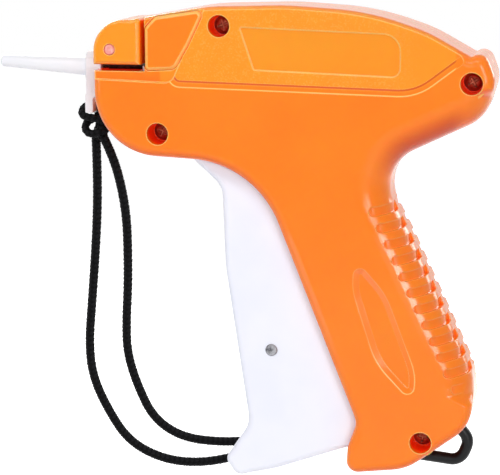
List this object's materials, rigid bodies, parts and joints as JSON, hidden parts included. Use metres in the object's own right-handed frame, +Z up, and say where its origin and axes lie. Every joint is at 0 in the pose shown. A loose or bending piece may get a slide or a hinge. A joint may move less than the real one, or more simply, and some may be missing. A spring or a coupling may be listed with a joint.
{
  "type": "garment tag attacher",
  "caption": "Hand-held tag attacher with a rounded two-shell body, hinged trigger, capped needle, feed cover and wrist strap.",
  "frame": {"origin": "middle of the hand grip, half way between the two shells", "axes": "+X from the nose to the back of the tool, +Y from the feed cover's side to the far side, +Z up with the needle level"},
  "size_m": [0.149, 0.028, 0.1451],
  "materials": {
    "orange_shell": "semi-gloss moulded",
    "white_plastic": "satin moulded",
    "white_cap": "satin moulded",
    "pink_button": "glossy",
    "steel": "satin",
    "dark_steel": "blackened",
    "black_rubber": "smooth",
    "black_cord": "braided"
  },
  "bodies": {
    "housing": {"left_shell": "orange_shell", "right_shell": "orange_shell", "hanging_loop": "black_rubber", "nose_block": "orange_shell", "needle_hub": "dark_steel", "needle_tube": "steel", "knife_blade": "steel", "feed_cover": "orange_shell", "feed_wheel_axle": "steel", "check_spring": "steel", "pawl_pin": "steel", "lever_pivot_pin": "steel", "trigger_pivot_pin": "steel", "return_spring": "steel", "housing_screws": "dark_steel", "strap_strand_a": "black_cord", "strap_strand_b": "black_cord"},
    "trigger": {"trigger": "white_plastic", "trigger_link_pin": "steel"},
    "link": {"connecting_link": "steel"},
    "lever": {"drive_lever": "steel", "lever_link_pin": "steel"},
    "plunger": {"plunger_slide": "white_plastic", "slide_pin": "steel", "ejector_rod": "steel"},
    "feed_wheel": {"feed_wheel": "white_plastic"},
    "feed_pawl": {"feed_pawl": "white_plastic"},
    "release_button": {"needle_release_button": "pink_button"},
    "cap": {"needle_cap": "white_cap", "strap_knot": "black_cord"}
  },
  "joints": [
    {"name": "trigger_hinge", "type": "hinge", "parent": "housing", "child": "trigger", "pos_m": [-0.0015, 0, -0.0333], "axis": [0, 1, 0], "range_deg": [0, 14], "stiffness_Nm_per_rad": 0.9, "springref_deg": -6.88, "deforming": ["return_spring"]},
    {"name": "lever_hinge", "type": "hinge", "parent": "housing", "child": "lever", "pos_m": [-0.0035, 0, 0.0062], "axis": [0, -1, 0], "range_deg": [0, 30]},
    {"name": "link_hinge", "type": "hinge", "parent": "trigger", "child": "link", "pos_m": [-0.0331, 0, -0.0101], "axis": [0, 1, 0], "range_deg": [0, 2]},
    {"name": "plunger_travel", "type": "slide", "parent": "housing", "child": "plunger", "axis": [-1, 0, 0], "range_m": [0, 0.038]},
    {"name": "feed_wheel_spin", "type": "hinge", "parent": "housing", "child": "feed_wheel", "pos_m": [-0.0629, 0, 0.0801], "axis": [0, 1, 0], "continuous": true},
    {"name": "feed_pawl_hinge", "type": "hinge", "parent": "housing", "child": "feed_pawl", "pos_m": [-0.0533, 0, 0.0661], "axis": [0, 1, 0], "range_deg": [0, 8.4]},
    {"name": "button_press", "type": "slide", "parent": "housing", "child": "release_button", "axis": [0, 1, 0], "range_m": [0, 0.0012], "stiffness_N_per_m": 600, "springref_m": -0.0005},
    {"name": "cap_pull", "type": "slide", "parent": "housing", "child": "cap", "axis": [-1, 0, 0], "range_m": [0, 0.03]}
  ],
  "couplings": [
    {"joint": "lever_hinge", "follows": "trigger_hinge", "ratio": 2.1429},
    {"joint": "link_hinge", "follows": "trigger_hinge", "ratio": 0.14},
    {"joint": "plunger_travel", "follows": "trigger_hinge", "m_per_rad": 0.15552},
    {"joint": "feed_pawl_hinge", "follows": "trigger_hinge", "ratio": 0.6}
  ]
}
